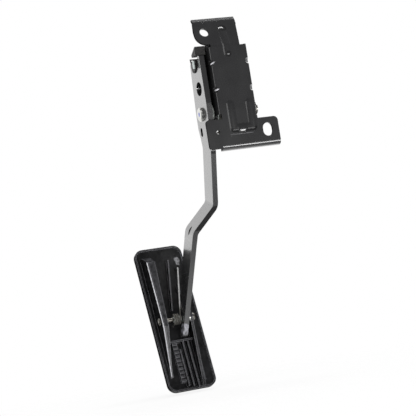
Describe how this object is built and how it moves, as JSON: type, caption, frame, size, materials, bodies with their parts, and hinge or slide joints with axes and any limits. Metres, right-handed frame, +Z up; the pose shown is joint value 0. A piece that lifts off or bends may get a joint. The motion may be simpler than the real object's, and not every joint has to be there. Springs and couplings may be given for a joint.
{
  "type": "accelerator pedal",
  "caption": "Hanging cable-operated accelerator pedal with a stamped steel bracket, cranked flat-bar arm, sprung pivot and hinged moulded pad.",
  "frame": {"origin": "on the mounting face of the bracket, midway between its cheeks, at the height of the pivot", "axes": "+X to the right seen from the bulkhead side along the pivot shaft, +Y from the bulkhead towards the driver, +Z up"},
  "size_m": [0.1243, 0.1044, 0.3323],
  "materials": {
    "painted_steel": "gloss black paint",
    "zinc_plate": "bright zinc plate",
    "spring_wire": "oiled spring steel",
    "nylon": "smooth moulded nylon",
    "rubber": "matte grained rubber",
    "moulded_plastic": "satin moulded plastic"
  },
  "bodies": {
    "bracket": {"mounting_bracket": "painted_steel", "fixing_rivets": "zinc_plate", "pivot_bush_left": "nylon", "pivot_bush_right": "nylon", "return_spring": "spring_wire", "spring_spool": "nylon"},
    "arm": {"pedal_arm": "painted_steel", "pivot_shaft": "zinc_plate", "thrust_washer": "zinc_plate", "shaft_washer": "zinc_plate", "shaft_clip": "spring_wire", "stop_cap": "rubber", "cable_holder": "moulded_plastic", "cable_ferrule": "zinc_plate", "cable_clip": "spring_wire"},
    "pad": {"pedal_pad": "moulded_plastic", "pad_pin": "spring_wire", "pin_push_nut": "spring_wire", "pad_spacer": "nylon", "pad_spring": "spring_wire", "pad_washer": "zinc_plate"}
  },
  "joints": [
    {"name": "pedal_hinge", "type": "hinge", "parent": "bracket", "child": "arm", "pos_m": [-0.0255, 0.018, 0], "axis": [-1, 0, 0], "range_deg": [0, 13], "stiffness_Nm_per_rad": 2, "springref_deg": -60.16, "deforming": ["return_spring"]},
    {"name": "pad_hinge", "type": "hinge", "parent": "arm", "child": "pad", "pos_m": [-0.05869, 0.06561, -0.18003], "axis": [-1, 0, 0], "range_deg": [-10, 6], "stiffness_Nm_per_rad": 0.15, "deforming": ["pad_spring"]}
  ]
}
